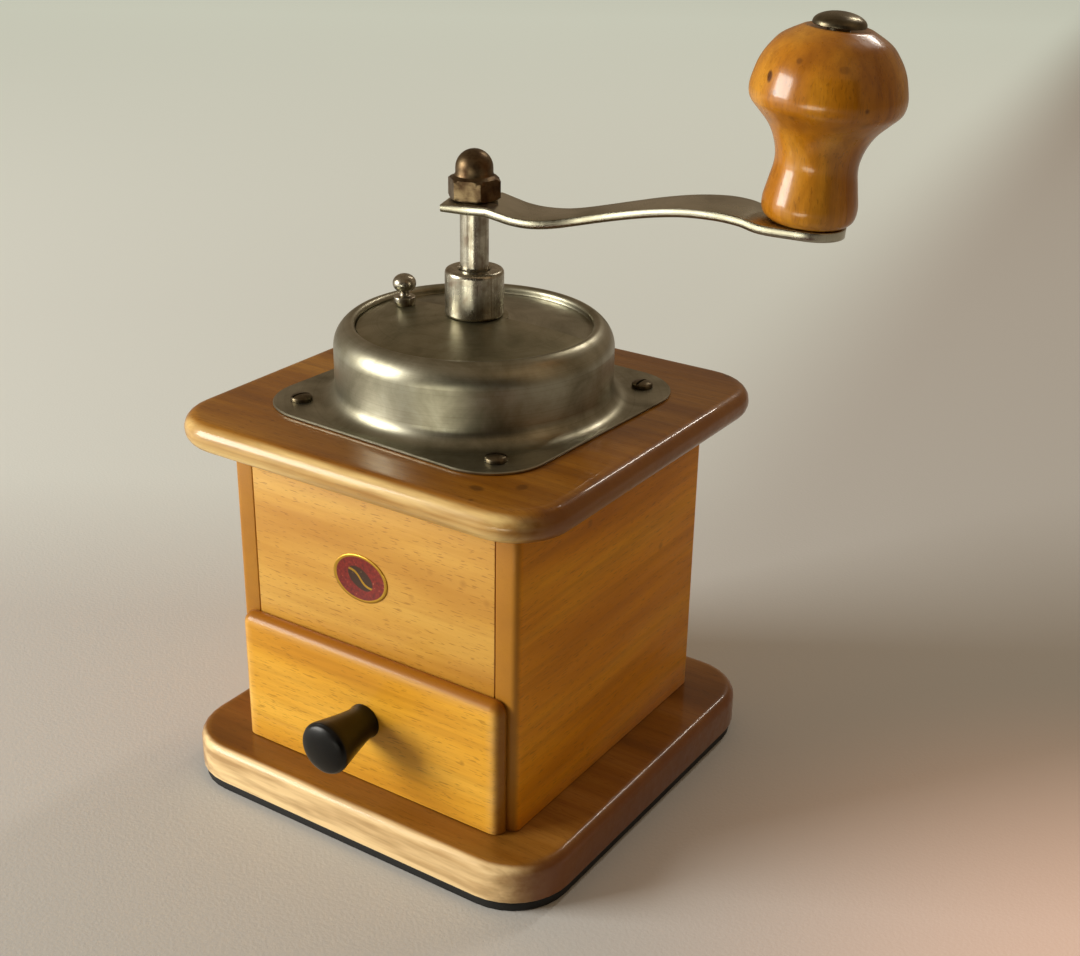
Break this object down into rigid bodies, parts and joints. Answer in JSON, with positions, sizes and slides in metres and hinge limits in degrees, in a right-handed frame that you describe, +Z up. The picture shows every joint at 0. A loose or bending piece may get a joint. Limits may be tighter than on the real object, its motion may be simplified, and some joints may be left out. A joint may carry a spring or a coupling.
{
  "type": "manual coffee grinder",
  "caption": "Wooden box coffee mill with a steel hopper dome, a hand crank with a turned knob and a drawer for the ground coffee.",
  "frame": {"origin": "middle of the rubber pad's resting face", "axes": "+Z up along the crank's axis, -Y the way the drawer opens, +X to the right seen from the drawer"},
  "size_m": [0.1727, 0.1379, 0.2293],
  "materials": {
    "lacquered_beech": "glossy lacquer, worn",
    "darker_beech": "glossy lacquer, worn",
    "nickelled_steel": "satin nickel, scuffed",
    "bright_steel": "turned and polished, worn",
    "dark_steel": "oiled, dull",
    "worn_brass": "brown patina",
    "cast_iron": "rough casting, black",
    "black_rubber": "matt",
    "black_bakelite": "polished"
  },
  "bodies": {
    "frame": {"rubber_pad": "black_rubber", "base_board": "lacquered_beech", "left_side_board": "darker_beech", "right_side_board": "darker_beech", "front_panel": "lacquered_beech", "back_panel": "lacquered_beech", "top_board": "lacquered_beech", "hopper_dome": "nickelled_steel", "flange_screw_1": "bright_steel", "flange_screw_2": "bright_steel", "flange_screw_3": "bright_steel", "flange_screw_4": "bright_steel", "shaft_collar": "bright_steel", "collar_nut": "dark_steel", "mill_housing": "cast_iron", "housing_screw_1": "dark_steel", "housing_screw_2": "dark_steel", "housing_screw_3": "dark_steel", "outer_burr": "dark_steel", "bearing_bridge": "cast_iron", "bridge_screw_1": "dark_steel", "bridge_screw_2": "dark_steel", "base_screw_1": "dark_steel", "base_screw_2": "dark_steel", "base_screw_3": "dark_steel", "base_screw_4": "dark_steel"},
    "lid": {"hopper_lid": "nickelled_steel", "lid_knob": "nickelled_steel"},
    "drawer": {"drawer_front": "lacquered_beech", "drawer_left_side": "lacquered_beech", "drawer_right_side": "lacquered_beech", "drawer_back": "lacquered_beech", "drawer_bottom": "lacquered_beech", "drawer_knob": "black_bakelite", "drawer_knob_screw": "bright_steel"},
    "ball": {"thrust_ball": "bright_steel"},
    "adjuster": {"adjusting_screw": "dark_steel"},
    "crank": {"drive_shaft": "bright_steel", "crank_arm": "nickelled_steel", "acorn_nut": "worn_brass", "knob_pin": "bright_steel", "inner_burr": "dark_steel", "burr_pin": "bright_steel"},
    "knob": {"crank_knob": "lacquered_beech"}
  },
  "joints": [
    {"name": "lid_turn", "type": "hinge", "parent": "frame", "child": "lid", "pos_m": [0, 0, 0.1387], "axis": [0, 0, 1], "range_deg": [0, 180]},
    {"name": "drawer_slide", "type": "slide", "parent": "frame", "child": "drawer", "axis": [0, -1, 0], "range_m": [0, 0.075]},
    {"name": "burr_lift", "type": "slide", "parent": "frame", "child": "ball", "axis": [0, 0, 1], "range_m": [0, 0.0009]},
    {"name": "adjusting_turn", "type": "hinge", "parent": "ball", "child": "adjuster", "pos_m": [0, 0, 0.07], "axis": [0, 0, 1], "range_deg": [0, 270]},
    {"name": "crank_turn", "type": "hinge", "parent": "ball", "child": "crank", "pos_m": [0, 0, 0.13], "axis": [0, 0, 1], "continuous": true},
    {"name": "knob_spin", "type": "hinge", "parent": "crank", "child": "knob", "pos_m": [0.08535, 0.02856, 0.1749], "axis": [0.0744, 0.0249, 0.9969], "continuous": true}
  ],
  "couplings": [
    {"joint": "adjusting_turn", "follows": "burr_lift", "rad_per_m": 5235.9}
  ]
}
